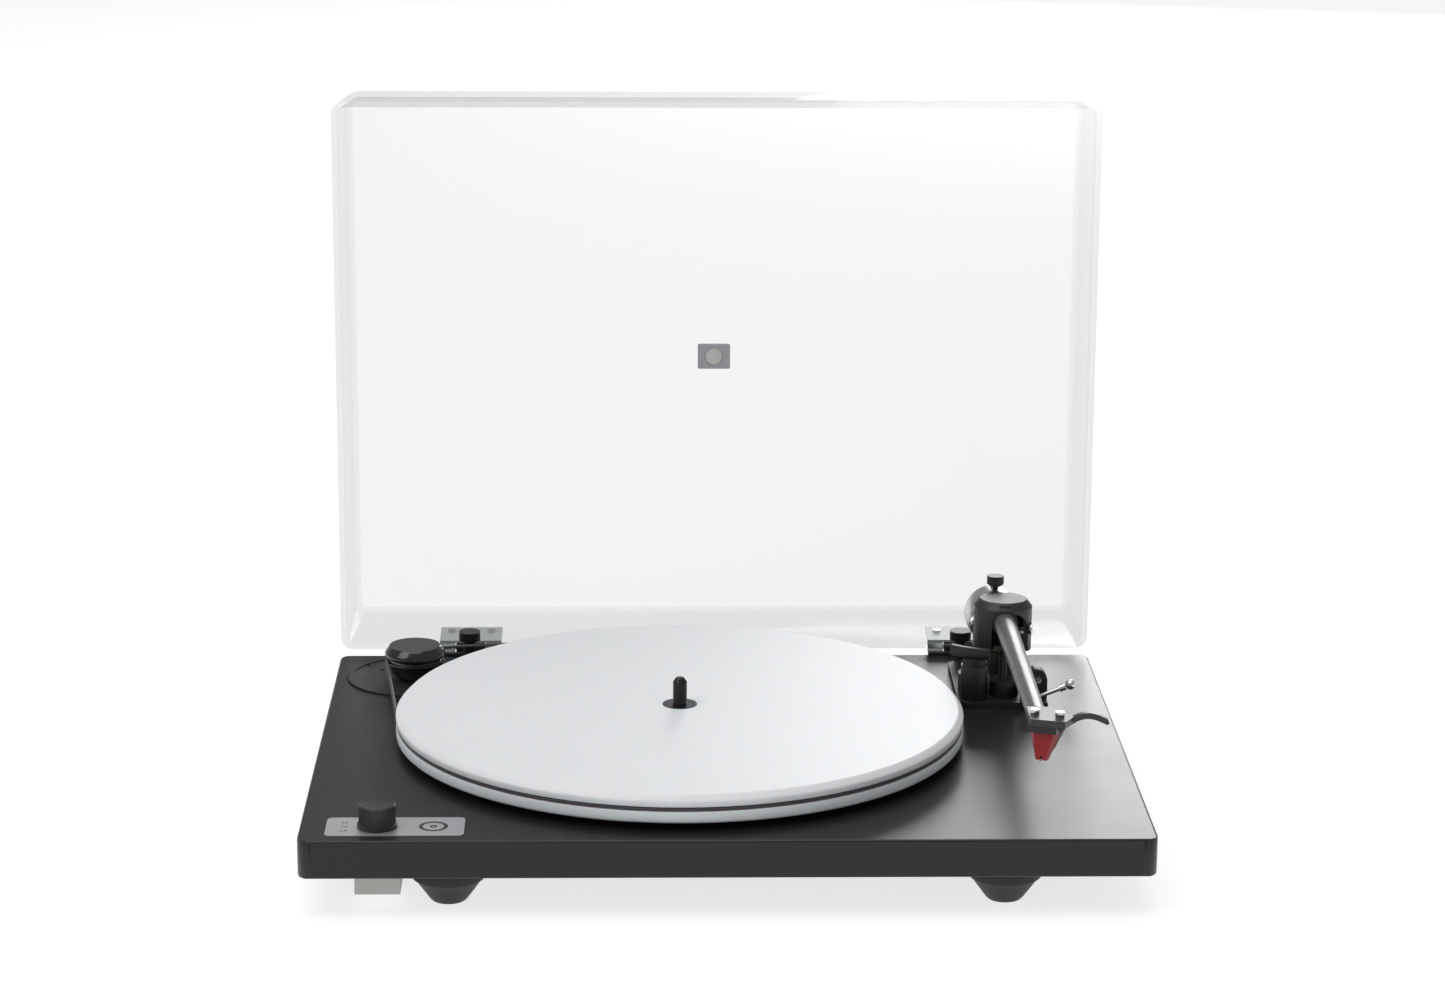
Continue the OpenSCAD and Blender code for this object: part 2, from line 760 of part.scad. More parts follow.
module arm_housing() {
    inner_r = arm_housing_r - housing_wall;
    notch_r = 9.9;
    notch_x = 3;
    color([0.09, 0.09, 0.1]) difference() {
        arm_frame() difference() {
            union() {
                difference() {
                    rotate_extrude() polygon([[inner_r, housing_bottom],
                        [arm_housing_r, housing_bottom], [arm_housing_r, housing_shoulder],
                        [housing_top_r, housing_top], [0, housing_top],
                        [0, housing_top - housing_wall], [housing_top_r - 1, housing_top - housing_wall],
                        [inner_r, housing_shoulder - 1]]);
                    translate([notch_x, -8, 0]) rotate([90, 0, 0]) rod(notch_r, 0, 10);
                    translate([notch_x - notch_r, -18, housing_bottom - 1])
                        cube([2 * notch_r, 10, -housing_bottom + 1]);
                }
                translate([0, -socket_back, tube_z]) rotate([90, 0, 0]) rod(7.2, 0, 4.4);
                translate([-3, -14.4, tube_z]) cube([6, 4.4, housing_top - 1 - tube_z]);
            }
            translate([0, 0, tube_z]) rotate([90, 0, 0]) rod(tube_back_r, 9, 18);
            rotate(stub_turn) translate([0, 0, tube_z]) rotate([-90, 0, 0]) rod(stub_r, 9, 18);
        }
        pivot_frame() rotate(-arm_offset) rotate([0, 90, 0]) rod(pivot_shank_r, -20, 20);
    }
}

module pivot_screws() {
    color([0.75, 0.75, 0.76]) pivot_frame() for (side = [0, 180])
        rotate(side - arm_offset) rotate([0, 90, 0]) difference() {
            union() {
                rod(pivot_tip_r, yoke_r - 1.7, yoke_r + 0.3);
                rod(pivot_shank_r, yoke_r + 0.3, arm_housing_r);
                rod(pivot_head_r, arm_housing_r, arm_housing_r + 1.4);
            }
            translate([0, 0, arm_housing_r + 0.6]) linear_extrude(1) square([1, 8], center = true);
        }
}

module arm_tube() {
    run = shell_back - socket_back;
    color([0.3, 0.3, 0.31]) arm_frame() translate([0, -socket_back, tube_z]) rotate([90, 0, 0])
        difference() {
            cylinder(r1 = tube_back_r, r2 = tube_front_r, h = run);
            translate([0, 0, -1]) cylinder(r1 = tube_back_r - tube_wall,
                r2 = tube_front_r - tube_wall, h = run + 2);
        }
}

module headshell() {
    plug_r = tube_front_r - tube_wall - 0.1;
    lift_steps = 24;
    lift_x = 15.5;
    lift_run = 18;
    lift_tip = 0.92;
    function lift_z(t) = shell_bottom + 1.7 + 2.4 * sin(205 * t);
    function lift_half(t) = t < lift_tip ? 1.5
        : 0.4 + 1.1 * sqrt(max(0, 1 - pow((t - lift_tip) / (1 - lift_tip), 2)));
    function lift_point(t, side) = [lift_x + lift_run * t, lift_z(t) + side * lift_half(t)];
    color([0.14, 0.14, 0.15]) difference() {
        arm_frame() {
            translate([0, -shell_back, shell_bottom]) linear_extrude(shell_t)
                polygon([[-5.3, 0], [7.4, -0.5], [11.8, -11.6], [17.6, -16], [11.2, -27.5],
                    [-5.3, -22.6]]);
            translate([0, -shell_back + 10, tube_z]) rotate([90, 0, 0]) rod(plug_r, 0, 13);
            translate([0, -shell_back - 15.2, 0]) rotate([90, 0, 0]) linear_extrude(3.5)
                polygon([for (i = [0 : lift_steps]) lift_point(i / lift_steps, 1),
                    for (i = [lift_steps : -1 : 0]) lift_point(i / lift_steps, -1)]);
        }
        cart_frame() for (side = [-1, 1])
            translate([side * screw_spacing / 2, 0, 0]) rod(1.25, -1, shell_t + 1);
    }
}

module headshell_screws() {
    color([0.8, 0.8, 0.82]) cart_frame() for (side = [-1, 1])
        translate([side * screw_spacing / 2, 0, 0]) {
            rod(1.2, -3, shell_t);
            difference() {
                rod(2.25, shell_t, shell_t + 2.4);
                translate([0, 0, shell_t + 1.2]) linear_extrude(2) circle(1.1, $fn = 6);
            }
        }
}

// The cartridge narrows downwards: half its width, and the plane where the stylus unit meets it
function wedge_share(z) = (wedge_top - z) / (wedge_top - wedge_low);
function wedge_half(z) = 7.5 - 4.5 * wedge_share(z);
function wedge_seam(z) = -1 - 4.5 * wedge_share(z);

module cartridge_body() {
    low = -13;
    function corners(z, back) = [[-wedge_half(z), wedge_seam(z), z], [wedge_half(z), wedge_seam(z), z],
        [wedge_half(z), back, z], [-wedge_half(z), back, z]];
    color([0.07, 0.07, 0.07]) cart_frame() difference() {
        union() {
            translate([-7, -7.5, wedge_top]) cube([14, 17, -wedge_top]);
            for (side = [-1, 1]) translate([side * screw_spacing / 2, 0, 0]) rod(3, -3, 0);
            polyhedron(concat(corners(low, -1), corners(wedge_top, 8)),
                [[0, 1, 2, 3], [7, 6, 5, 4], [0, 4, 5, 1], [1, 5, 6, 2], [2, 6, 7, 3],
                [3, 7, 4, 0]]);
            for (x = [-4.5, -1.5, 1.5, 4.5])
                translate([x, 9, -2]) rotate([-90, 0, 0]) rod(0.6, 0, 5);
        }
        for (side = [-1, 1])
            translate([side * screw_spacing / 2, 0, 0]) rod(1.25, -3.9, 1);
    }
}

// The cantilever's line, from inside the stylus unit down to the tip
module tip_line() {
    reach = 3.6;
    drop = 1.9;
    translate([0, -screw_back + reach, -cart_h + drop + 0.3])
        rotate([90 + atan2(drop, reach), 0, 0]) linear_extrude(norm([reach, drop])) circle(0.35);
}

module stylus_unit() {
    top = [[-7.5, -1], [-7.5, -3], [-5.2, -5.5], [5.2, -5.5], [7.5, -3], [7.5, -1]];
    low = [[-3, -5.5], [-3, -7.5], [-2.08, -8.5], [2.08, -8.5], [3, -7.5], [3, -5.5]];
    color([0.55, 0.06, 0.06]) cart_frame() difference() {
        polyhedron([for (p = low) [p[0], p[1], wedge_low], for (p = top) [p[0], p[1], wedge_top]],
            [[0, 1, 2, 3, 4, 5], [11, 10, 9, 8, 7, 6], [0, 6, 7, 1], [1, 7, 8, 2],
            [2, 8, 9, 3], [3, 9, 10, 4], [4, 10, 11, 5], [5, 11, 6, 0]]);
        translate([0, -6.6, wedge_low]) rotate([90, 0, 0]) linear_extrude(5)
            polygon([[-1.1, -1], [1.1, -1], [0.4, 2.2], [-0.4, 2.2]]);
        tip_line();
    }
}

module cantilever() {
    color([0.8, 0.8, 0.82]) cart_frame() tip_line();
}

module weight_stub() {
    color([0.25, 0.25, 0.26]) stub_frame() rod(stub_r, housing_wall + socket_back, stub_end);
}

module counterweight() {
    back = weight_y + weight_t / 2;
    color([0.8, 0.8, 0.81]) difference() {
        stub_frame() difference() {
            translate([0, weight_drop, weight_y - weight_t / 2]) rotate_extrude()
                polygon([[0, 0], [weight_r - 1, 0], [weight_r, 1], [weight_r, weight_t - 1],
                    [weight_r - 1, weight_t], [0, weight_t]]);
            rod(stub_r + running, 0, back + 1);
            translate([0, 0, weight_y]) rotate([90, 0, 0]) rod(weight_screw_r + running, 0, 20);
        }
    }
}

module weight_screw() {
    seat = 10.1;
    head = 4.6;
    color([0.06, 0.06, 0.06]) stub_frame() translate([0, 0, weight_y]) rotate([90, 0, 0]) {
        rod(weight_screw_r, stub_r + 0.1, seat);
        translate([0, 0, seat]) cylinder(r1 = 2.4, r2 = head, h = 1.6);
        difference() {
            rod(head, seat + 1.6, seat + 6.2);
            for (turn = [0 : 15 : 359])
                rotate(turn) translate([head + 0.12, 0, 0]) rod(0.35, 0, seat + 5.6);
        }
    }
}

module lift_column() {
    color([0.08, 0.08, 0.08]) deck() translate([column_x, column_y, 0]) difference() {
        rod(column_r, base_t, 21.5);
        rod(piston_r + running, base_t + 2, 24);
    }
}

module lift_piston() {
    color([0.12, 0.12, 0.12]) deck() translate([column_x, column_y, 0]) rod(piston_r, 9, 24.7);
}

module lift_bar() {
    start = 229;
    sweep = 27;
    color([0.06, 0.06, 0.06]) deck() translate([pivot_right, pivot_back, 24.7]) rotate(start)
        rotate_extrude(angle = sweep) translate([lift_r - 1.5, 0]) square([3, 5.8]);
}

module rest_post() {
    floor_z = 29.1;
    color([0.08, 0.08, 0.08]) deck() {
        translate([rest_x + 0.8, rest_y, 0]) rod(7.7, base_t, 11.5);
        translate([rest_x, rest_y, 0]) rod(2.1, 10, floor_z - 0.5);
        translate([rest_x - 4.4, rest_y - 2.5, floor_z - 1.6]) cube([15, 5, 1.6]);
        translate([rest_x + 8.8, rest_y - 2.5, floor_z - 1.6]) cube([1.8, 5, 10]);
    }
}

module lever_bracket() {
    arch_r = 6.25;
    color([0.1, 0.1, 0.1]) deck() translate([lever_x + 4.75, pivot_back - 44, 0]) difference() {
        union() {
            translate([-arch_r, 0, base_t]) cube([2 * arch_r, 8, 9.75]);
            translate([0, 0, base_t + 9.75]) rotate([-90, 0, 0]) rod(arch_r, 0, 8);
        }
        translate([1.25, 0, 13.4]) rotate([-90, 0, 0]) rod(1, -1, 6);
    }
}

module bracket_screw() {
    color([0.7, 0.7, 0.7]) deck() translate([lever_x + 6, pivot_back - 44, 13.4])
        rotate([-90, 0, 0]) {
            rod(1, 0, 5.5);
            rod(1.8, -0.9, 0);
        }
}

module cue_lever() {
    color([0.7, 0.7, 0.7]) deck() translate([lever_x, lever_y, lever_z]) {
        rotate([-90, 0, 0]) rod(3.6, -1.5, 2);
        rotate([-90, 0, 0]) rod(lever_pin_r, 1, 8);
        rotate([0, 90 - lever_rise, 0]) rod(1.1, 3, 21);
        rotate([0, 90 - lever_rise, 0]) rod(1.8, 17.5, 21);
    }
}

module lever_ball() {
    color([0.1, 0.1, 0.1]) deck() translate([lever_x, lever_y, lever_z])
        rotate([0, 90 - lever_rise, 0]) translate([0, 0, 23.75]) sphere(2.7);
}

module socket_panel() {
    color([0.1, 0.1, 0.1]) deck() difference() {
        rear_places([0]) translate([-panel_w / 2, -panel_h / 2, 0])
            cube([panel_w, panel_h, panel_t]);
        rear_places([-24, -24 + socket_pitch]) rod(socket_r + running, -1, 3);
        rear_places([22]) rod(4 + running, -1, 3);
        rear_places([-panel_w / 2 + 3.5, panel_w / 2 - 3.5]) rod(1.15, -1, 3);
    }
}

module signal_sockets() {
    color([0.8, 0.7, 0.4]) deck() rear_places([-24, -24 + socket_pitch]) difference() {
        union() {
            rod(socket_r, -12, 9.5);
            rod(5.6, panel_t, panel_t + 1);
        }
        rod(1.7, 0, 10);
    }
}

module power_socket() {
    color([0.08, 0.08, 0.08]) deck() rear_places([22]) {
        difference() {
            union() {
                rod(4, 0, 2.5);
                translate([-4.5, -4.5, -11]) cube([9, 9, 11]);
            }
            rod(2.75, -8, 3);
        }
        rod(1, -9, 1.5);
    }
}

module panel_screws() {
    color([0.15, 0.15, 0.15]) deck() rear_places([-panel_w / 2 + 3.5, panel_w / 2 - 3.5]) {
        rod(1.1, -7, panel_t);
        rod(2.2, panel_t, panel_t + 1.2);
    }
}

plinth();
feet();
foot_screws();
bearing_housing();
bearing_bush();
bearing_ball();
spindle();
hub();
platter();
motor_plate();
motor_plate_screws();
motor_ring();
motor_can();
motor_shaft();
pulley();
belt();
badge_plate();
knob();
knob_shaft();
switch_housing();
dust_cover();
cover_pad();
hinge_base_leaves();
hinge_pins();
hinge_cover_leaves();
hinge_screws();
thumbscrew_left();
thumbscrew_right();
arm_base();
arm_base_screws();
arm_pillar();
arm_bush();
arm_shaft();
arm_yoke();
arm_housing();
pivot_screws();
arm_tube();
headshell();
headshell_screws();
cartridge_body();
stylus_unit();
cantilever();
weight_stub();
counterweight();
weight_screw();
lift_column();
lift_piston();
lift_bar();
rest_post();
lever_bracket();
bracket_screw();
cue_lever();
lever_ball();
socket_panel();
signal_sockets();
power_socket();
panel_screws();
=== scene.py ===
import json
import math
import bpy
from mathutils import Matrix, Vector


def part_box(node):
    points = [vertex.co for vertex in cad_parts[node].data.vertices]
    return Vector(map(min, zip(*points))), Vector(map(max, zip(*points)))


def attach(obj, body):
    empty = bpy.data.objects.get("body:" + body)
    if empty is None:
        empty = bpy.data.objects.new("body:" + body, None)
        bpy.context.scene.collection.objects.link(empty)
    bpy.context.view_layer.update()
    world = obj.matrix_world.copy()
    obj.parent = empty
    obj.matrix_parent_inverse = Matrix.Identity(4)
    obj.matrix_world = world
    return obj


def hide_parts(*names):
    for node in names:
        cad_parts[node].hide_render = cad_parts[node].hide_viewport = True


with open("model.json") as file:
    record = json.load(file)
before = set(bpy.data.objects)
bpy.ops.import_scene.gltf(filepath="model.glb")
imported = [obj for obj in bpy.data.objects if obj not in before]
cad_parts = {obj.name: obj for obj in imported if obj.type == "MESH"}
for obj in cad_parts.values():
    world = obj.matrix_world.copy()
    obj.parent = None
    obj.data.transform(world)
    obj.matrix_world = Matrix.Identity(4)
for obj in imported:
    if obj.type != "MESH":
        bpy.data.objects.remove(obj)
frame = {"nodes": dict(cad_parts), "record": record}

# %% [markdown]
# # A belt-drive record player
# The working parts come ready made, in metres, in their right places. This lesson gives each of
# them a finish, and models again the few pieces whose plain working shape isn't fine enough to
# look at: the clear cover, the round belt, the knurled knob and the marks on its plate.

# %% What arrived
MM = 0.001
nodes = frame["nodes"]
slots = {part["node"]: part["material_slot"] for part in frame["record"]["subparts"]}
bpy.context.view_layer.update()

# %% [markdown]
# ## The camera
# A long lens stands back and looks slightly down, so that upright lines stay nearly upright. The
# place and the three angles were found by matching the plinth's corners. A camera looks along its
# own -Z with +Y up, so its matrix is written from the three directions rather than from angles.

# %% Place the camera
def look_directions(yaw, pitch, roll):
    level = Vector((math.sin(yaw), math.cos(yaw), 0))
    side = Vector((math.cos(yaw), -math.sin(yaw), 0))
    ahead = level * math.cos(pitch) + Vector((0, 0, -math.sin(pitch)))
    down = ahead.cross(side)
    right = side * math.cos(roll) + down * math.sin(roll)
    up = -(down * math.cos(roll) - side * math.sin(roll))
    return right, up, ahead


def place_camera(place, yaw, pitch, roll, lens):
    data = bpy.data.cameras.new("camera")
    data.lens = lens
    data.sensor_width = 36
    data.clip_start = 0.05
    camera = bpy.data.objects.new("camera", data)
    bpy.context.collection.objects.link(camera)
    right, up, ahead = look_directions(yaw, pitch, roll)
    turn = Matrix((right, up, -ahead)).transposed().to_4x4()
    camera.matrix_world = Matrix.Translation(place) @ turn
    bpy.context.scene.camera = camera
    return camera


CAMERA_PLACE = Vector((-0.04817, -1.9322, 0.66355))
CAMERA_YAW, CAMERA_PITCH, CAMERA_ROLL = 0.02528, 0.25554, -0.00575
CAMERA_LENS = 96.49
camera = place_camera(CAMERA_PLACE, CAMERA_YAW, CAMERA_PITCH, CAMERA_ROLL, CAMERA_LENS)
print("camera at", tuple(round(v, 3) for v in camera.location))

# %% [markdown]
# ## Floor and light
# The player stands on a plain white sweep under soft studio light. The room itself is dim, so that
# dark lacquer stays dark. A wide box overhead lights the platter and the sweep. A second box stands
# low behind on the right, where the lacquered deck reflects it towards the camera.

# %% Helpers for making things
def nothing_selected():
    if bpy.context.object and bpy.context.object.mode != "OBJECT":
        bpy.ops.object.mode_set(mode="OBJECT")
    bpy.ops.object.select_all(action="DESELECT")


def named(name):
    piece = bpy.context.object
    piece.name = name
    piece.data.name = name
    return piece


def settle(piece):
    """Puts a piece's place into its mesh and leaves its object at the origin."""
    nothing_selected()
    piece.select_set(True)
    bpy.context.view_layer.objects.active = piece
    bpy.ops.object.transform_apply(location=True, rotation=True, scale=True)


def apply_modifiers(piece):
    nothing_selected()
    piece.select_set(True)
    bpy.context.view_layer.objects.active = piece
    for modifier in list(piece.modifiers):
        bpy.ops.object.modifier_apply(modifier=modifier.name)


# %% Floor, world and lights
FLOOR_SIZE, FLOOR_BACK = 14, 3
SWEEP_COLOUR, SWEEP_GLOW = 0.36, 0.76
ROOM_BRIGHTNESS = 0.36
# Name, place, the point it faces, width, height and power
SOFTBOXES = [
    ("overhead", (-0.3, 0.1, 2.2), (0, 0.1, 0), 2.6, 2.2, 30),
    ("key", (-1.6, -0.9, 1.6), (0, 0, 0.05), 1.2, 1.2, 9),
    ("low_back", (0.75, 3.0, 0.8), (0.1, 0, 0.03), 1.1, 1.0, 26),
]


def add_floor():
    nothing_selected()
    bpy.ops.mesh.primitive_plane_add(size=FLOOR_SIZE, location=(0, FLOOR_BACK, 0))
    floor = named("floor")
    settle(floor)
    return floor


def finish_floor(floor):
    """White paper with a glow of its own, so that it stays white away from the lights."""
    material = bpy.data.materials.new("white_sweep")
    material.use_nodes = True
    shader = material.node_tree.nodes["Principled BSDF"]
    shader.inputs["Base Color"].default_value = (SWEEP_COLOUR,) * 3 + (1,)
    shader.inputs["Roughness"].default_value = 1.0
    shader.inputs["Specular IOR Level"].default_value = 0.0
    shader.inputs["Emission Color"].default_value = (1, 1, 1, 1)
    shader.inputs["Emission Strength"].default_value = SWEEP_GLOW
    floor.data.materials.append(material)


def add_world(brightness):
    world = bpy.data.worlds.new("studio")
    world.use_nodes = True
    background = world.node_tree.nodes["Background"]
    background.inputs["Color"].default_value = (1.0, 1.0, 1.0, 1.0)
    background.inputs["Strength"].default_value = brightness
    bpy.context.scene.world = world


def add_softbox(name, place, target, width, height, power):
    data = bpy.data.lights.new(name, "AREA")
    data.shape = "RECTANGLE"
    data.size = width
    data.size_y = height
    data.energy = power
    light = bpy.data.objects.new(name, data)
    bpy.context.collection.objects.link(light)
    light.location = place
    light.rotation_euler = (Vector(target) - Vector(place)).to_track_quat("-Z", "Y").to_euler()
    return light


floor = add_floor()
finish_floor(floor)
add_world(ROOM_BRIGHTNESS)
for softbox in SOFTBOXES:
    add_softbox(*softbox)
bpy.context.scene.view_settings.view_transform = "Standard"

# %% [markdown]
# ## Effects that several finishes share
# Paint, moulded plastic and cast metal all have a fine grain, turned metal has rings round its
# axis, and brushed metal has streaks. Each effect is a node group that is built once. A group puts
# out only a mask and a height, and each finish decides how far they change it.

# %% A group with a vector in, and a mask and a height out
def new_group(name):
    group = bpy.data.node_groups.new(name, "ShaderNodeTree")
    face = group.interface
    face.new_socket("Vector", in_out="INPUT", socket_type="NodeSocketVector")
    face.new_socket("Scale", in_out="INPUT", socket_type="NodeSocketFloat")
    face.new_socket("Mask", in_out="OUTPUT", socket_type="NodeSocketFloat")
    face.new_socket("Height", in_out="OUTPUT", socket_type="NodeSocketFloat")
    entry = group.nodes.new("NodeGroupInput")
    exit_ = group.nodes.new("NodeGroupOutput")
    return group, entry, exit_


def noise_in(group, vector, scale, detail, roughness):
    noise = group.nodes.new("ShaderNodeTexNoise")
    noise.inputs["Detail"].default_value = detail
    noise.inputs["Roughness"].default_value = roughness
    group.links.new(vector, noise.inputs["Vector"])
    if scale is not None:
        group.links.new(scale, noise.inputs["Scale"])
    return noise


def multiplied(group, value, factor):
    times = group.nodes.new("ShaderNodeMath")
    times.operation = "MULTIPLY"
    times.inputs[1].default_value = factor
    group.links.new(value, times.inputs[0])
    return times.outputs["Value"]


# %% Fine grain: small grain for height, broad clouds for colour
def build_grain():
    group, entry, exit_ = new_group("fine_grain")
    vector, scale = entry.outputs["Vector"], entry.outputs["Scale"]
    fine = noise_in(group, vector, scale, 3, 0.6)
    broad = noise_in(group, vector, multiplied(group, scale, 0.02), 2, 0.5)
    mixed = group.nodes.new("ShaderNodeMix")
    mixed.inputs["Factor"].default_value = 0.45
    group.links.new(broad.outputs["Fac"], mixed.inputs["A"])
    group.links.new(fine.outputs["Fac"], mixed.inputs["B"])
    group.links.new(mixed.outputs["Result"], exit_.inputs["Mask"])
    group.links.new(fine.outputs["Fac"], exit_.inputs["Height"])
    return group


# %% Turned rings: a wave that runs out from an axis
def build_rings():
    group, entry, exit_ = new_group("turned_rings")
    vector, scale = entry.outputs["Vector"], entry.outputs["Scale"]
    wave = group.nodes.new("ShaderNodeTexWave")
    wave.wave_type = "RINGS"
    wave.rings_direction = "Z"
    wave.inputs["Distortion"].default_value = 0.6
    wave.inputs["Detail"].default_value = 2
    group.links.new(vector, wave.inputs["Vector"])
    group.links.new(scale, wave.inputs["Scale"])
    cloud = noise_in(group, vector, multiplied(group, scale, 0.05), 2, 0.5)
    mixed = group.nodes.new("ShaderNodeMix")
    mixed.inputs["Factor"].default_value = 0.5
    group.links.new(cloud.outputs["Fac"], mixed.inputs["A"])
    group.links.new(wave.outputs["Fac"], mixed.inputs["B"])
    group.links.new(mixed.outputs["Result"], exit_.inputs["Mask"])
    group.links.new(wave.outputs["Fac"], exit_.inputs["Height"])
    return group


# %% Brushed streaks: noise drawn out along X
def build_streaks():
    group, entry, exit_ = new_group("brushed_streaks")
    vector, scale = entry.outputs["Vector"], entry.outputs["Scale"]
    drawn = group.nodes.new("ShaderNodeMapping")
    drawn.inputs["Scale"].default_value = (0.03, 1.0, 1.0)
    group.links.new(vector, drawn.inputs["Vector"])
    noise = noise_in(group, drawn.outputs["Vector"], scale, 4, 0.7)
    group.links.new(noise.outputs["Fac"], exit_.inputs["Mask"])
    group.links.new(noise.outputs["Fac"], exit_.inputs["Height"])
    return group


grain, rings, streaks = build_grain(), build_rings(), build_streaks()
print("effects:", [group.name for group in (grain, rings, streaks)])

# %% [markdown]
# ## Finishes
# One function wires an effect into a Principled shader: the mask swings the colour and the
# roughness a little either side of their middle values, and the height goes through a bump. What
# is the same all over, such as the coat or the metal, is set straight on the shader.

# %% The wiring that every finish shares
def shade(colour, factor):
    return tuple(min(1.0, channel * factor) for channel in colour) + (1.0,)


def finish(name, colour, rough, effect, scale, swing=0.06, rough_swing=0.06, bump=0.1,
           depth=0.02, centre=(0, 0, 0), **constants):
    material = bpy.data.materials.new(name)
    material.use_nodes = True
    tree = material.node_tree
    shader = tree.nodes["Principled BSDF"]
    place = tree.nodes.new("ShaderNodeTexCoord")
    moved = tree.nodes.new("ShaderNodeMapping")
    moved.vector_type = "POINT"
    moved.inputs["Location"].default_value = tuple(-value for value in centre)
    pattern = tree.nodes.new("ShaderNodeGroup")
    pattern.node_tree = effect
    pattern.inputs["Scale"].default_value = scale
    tree.links.new(place.outputs["Object"], moved.inputs["Vector"])
    tree.links.new(moved.outputs["Vector"], pattern.inputs["Vector"])
    tint = tree.nodes.new("ShaderNodeMix")
    tint.data_type = "RGBA"
    tint.inputs["A"].default_value = shade(colour, 1 - swing)
    tint.inputs["B"].default_value = shade(colour, 1 + swing)
    tree.links.new(pattern.outputs["Mask"], tint.inputs["Factor"])
    tree.links.new(tint.outputs["Result"], shader.inputs["Base Color"])
    gloss = tree.nodes.new("ShaderNodeMapRange")
    gloss.inputs["To Min"].default_value = max(0.02, rough - rough_swing)
    gloss.inputs["To Max"].default_value = min(1.0, rough + rough_swing)
    tree.links.new(pattern.outputs["Mask"], gloss.inputs["Value"])
    tree.links.new(gloss.outputs["Result"], shader.inputs["Roughness"])
    relief = tree.nodes.new("ShaderNodeBump")
    relief.inputs["Strength"].default_value = bump
    relief.inputs["Distance"].default_value = depth * MM
    tree.links.new(pattern.outputs["Height"], relief.inputs["Height"])
    tree.links.new(relief.outputs["Normal"], shader.inputs["Normal"])
    for socket, value in constants.items():
        shader.inputs[socket.replace("_", " ")].default_value = value
    return material


# %% [markdown]
# ### Dark finishes
# The plinth is a satin lacquer, smooth with a faint cloud. The moulded parts are rougher, and the
# tonearm castings carry a fine blasted grain.

# %% Lacquer, mouldings, castings and rubber
finishes = {
    "plinth_paint": finish("plinth_paint", (0.013, 0.013, 0.015), 0.34, grain, 1600, 0.08, 0.04,
                           0.12, 0.01, Specular_IOR_Level=0.35),
    "satin_black": finish("satin_black", (0.014, 0.014, 0.015), 0.42, grain, 2600, 0.15, 0.08,
                          0.25, 0.02),
    "arm_black": finish("arm_black", (0.020, 0.020, 0.022), 0.44, grain, 3200, 0.15, 0.08, 0.3,
                        0.02),
    "shell_grey": finish("shell_grey", (0.022, 0.022, 0.025), 0.38, grain, 3000, 0.12, 0.08, 0.25,
                         0.015),
    "tube_grey": finish("tube_grey", (0.17, 0.17, 0.175), 0.36, grain, 2800, 0.1, 0.06, 0.2,
                        0.012, Metallic=0.6),
    "hinge_black": finish("hinge_black", (0.018, 0.018, 0.019), 0.4, grain, 2400, 0.15, 0.1, 0.3,
                          0.02),
    "hinge_pale": finish("hinge_pale", (0.40, 0.43, 0.42), 0.35, grain, 2200, 0.06, 0.06, 0.15,
                         0.01),
    "foot_rubber": finish("foot_rubber", (0.008, 0.008, 0.008), 0.55, grain, 2200, 0.2, 0.1, 0.4,
                          0.03),
    "gloss_black": finish("gloss_black", (0.008, 0.008, 0.009), 0.16, grain, 1200, 0.15, 0.04,
                          0.06, 0.01, Coat_Weight=0.4),
    "black_steel": finish("black_steel", (0.012, 0.012, 0.013), 0.28, grain, 2400, 0.15, 0.06,
                          0.1, 0.01, Metallic=0.4),
    "cartridge_black": finish("cartridge_black", (0.010, 0.010, 0.010), 0.4, grain, 3600, 0.2,
                              0.08, 0.25, 0.015),
    "belt_rubber": finish("belt_rubber", (0.055, 0.06, 0.065), 0.5, grain, 3600, 0.15, 0.1, 0.3,
                          0.02),
}
print("dark finishes:", len(finishes))

# %% [markdown]
# ### Bright and pale finishes
# The counterweight is turned, so its rings follow its own axis. The badge plate is brushed along
# its length. The platter is cast acrylic with a frosted face: pale, slightly see-through, and
# soft where light comes up to its edge.

# %% Metals and pale plastics
weight_low, weight_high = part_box("counterweight")
weight_middle = tuple((low + high) / 2 for low, high in zip(weight_low, weight_high))
finishes.update({
    "weight_metal": finish("weight_metal", (0.62, 0.62, 0.63), 0.24, rings, 500, 0.06, 0.06, 0.12,
                           0.01, centre=weight_middle, Metallic=1.0),
    "steel": finish("steel", (0.55, 0.55, 0.56), 0.3, grain, 2600, 0.08, 0.08, 0.15, 0.01,
                    Metallic=1.0),
    "bright_screw": finish("bright_screw", (0.68, 0.68, 0.7), 0.2, grain, 2600, 0.06, 0.06, 0.1,
                           0.01, Metallic=1.0),
    "bronze": finish("bronze", (0.5, 0.32, 0.12), 0.38, grain, 3000, 0.15, 0.08, 0.3, 0.02,
                     Metallic=1.0),
    "gold_contact": finish("gold_contact", (0.8, 0.6, 0.25), 0.25, grain, 2400, 0.06, 0.05, 0.1,
                           0.01, Metallic=1.0),
    "badge_metal": finish("badge_metal", (0.62, 0.63, 0.65), 0.34, streaks, 2500, 0.08, 0.1, 0.2,
                          0.008, Metallic=0.75),
    "pale_plastic": finish("pale_plastic", (0.5, 0.5, 0.48), 0.45, grain, 2000, 0.05, 0.06, 0.2,
                           0.02),
    "pad_plastic": finish("pad_plastic", (0.32, 0.33, 0.35), 0.35, grain, 1800, 0.1, 0.08, 0.2,
                          0.02),
    "frosted_acrylic": finish("frosted_acrylic", (0.78, 0.79, 0.81), 0.42, grain, 1800, 0.015,
                              0.04, 0.08, 0.008, Subsurface_Weight=0.35,
                              Subsurface_Scale=0.01),
    "stylus_red": finish("stylus_red", (0.30, 0.010, 0.014), 0.26, grain, 1800, 0.12, 0.05, 0.08,
                         0.01, Coat_Weight=0.3),
})

